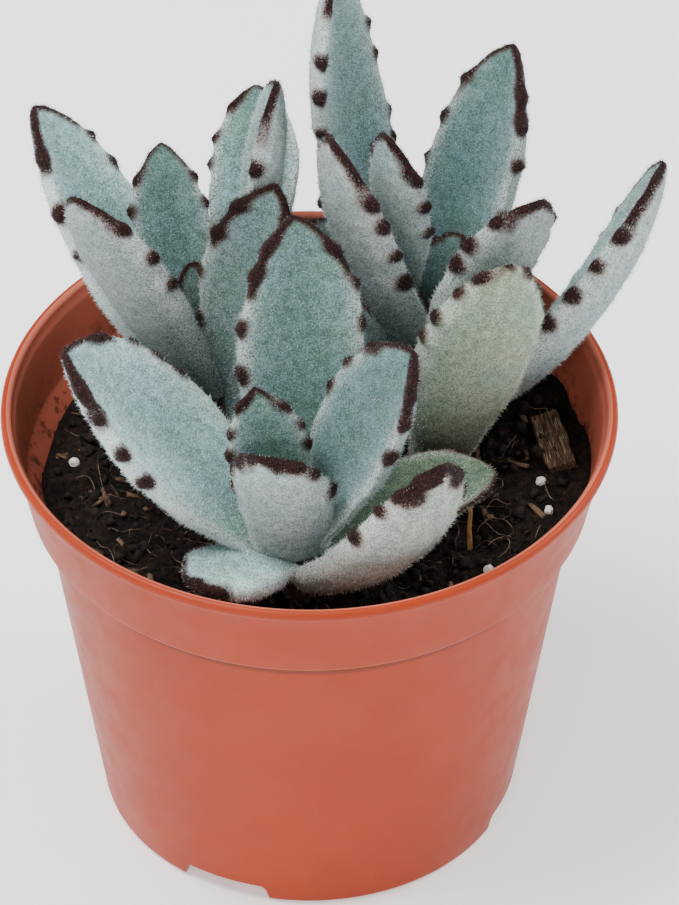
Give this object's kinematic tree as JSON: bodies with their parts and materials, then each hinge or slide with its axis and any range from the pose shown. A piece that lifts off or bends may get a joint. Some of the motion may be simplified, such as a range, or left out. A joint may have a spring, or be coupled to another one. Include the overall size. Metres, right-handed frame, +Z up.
{
  "type": "potted panda plant",
  "caption": "Panda plant: a rosette-forming succulent with thick felted leaves, brown teeth along their margins, standing in soil in a round tapered plastic nursery pot.",
  "frame": {"origin": "middle of the whole plant's footprint, on the surface that the pot stands on", "axes": "+Z up, out of the pot; -Y towards the viewer of the picture, which is the plant's front; +X to the picture's right"},
  "size_m": [0.113, 0.1078, 0.1546],
  "materials": {
    "pot_plastic": "terracotta-coloured moulded plastic, semi-matt",
    "potting_soil": "damp dark peat with fibres, no sheen",
    "stem_felt": "woody stem under short felt",
    "leaf_felt": "living leaf under dense silvery felt, brown on the teeth",
    "perlite": "porous white mineral grain",
    "bark": "weathered bark flake with pale lengthwise fibres",
    "straw": "dry golden stalk"
  },
  "bodies": {
    "root": {"bark_flake": "bark", "leaf_front_1": "leaf_felt", "leaf_front_2": "leaf_felt", "leaf_front_3": "leaf_felt", "leaf_front_4": "leaf_felt", "leaf_front_5": "leaf_felt", "leaf_front_6": "leaf_felt", "leaf_front_7": "leaf_felt", "leaf_front_8": "leaf_felt", "leaf_front_9": "leaf_felt", "leaf_left_1": "leaf_felt", "leaf_left_10": "leaf_felt", "leaf_left_2": "leaf_felt", "leaf_left_3": "leaf_felt", "leaf_left_4": "leaf_felt", "leaf_left_5": "leaf_felt", "leaf_left_6": "leaf_felt", "leaf_left_7": "leaf_felt", "leaf_left_8": "leaf_felt", "leaf_left_9": "leaf_felt", "leaf_right_1": "leaf_felt", "leaf_right_10": "leaf_felt", "leaf_right_11": "leaf_felt", "leaf_right_12": "leaf_felt", "leaf_right_2": "leaf_felt", "leaf_right_3": "leaf_felt", "leaf_right_4": "leaf_felt", "leaf_right_5": "leaf_felt", "leaf_right_6": "leaf_felt", "leaf_right_7": "leaf_felt", "leaf_right_8": "leaf_felt", "leaf_right_9": "leaf_felt", "perlite_1": "perlite", "perlite_2": "perlite", "perlite_3": "perlite", "perlite_4": "perlite", "perlite_5": "perlite", "perlite_6": "perlite", "perlite_7": "perlite", "perlite_8": "perlite", "pot": "pot_plastic", "soil": "potting_soil", "stem_front": "stem_felt", "stem_left": "stem_felt", "stem_right": "stem_felt", "straw": "straw"}
  },
  "joints": []
}
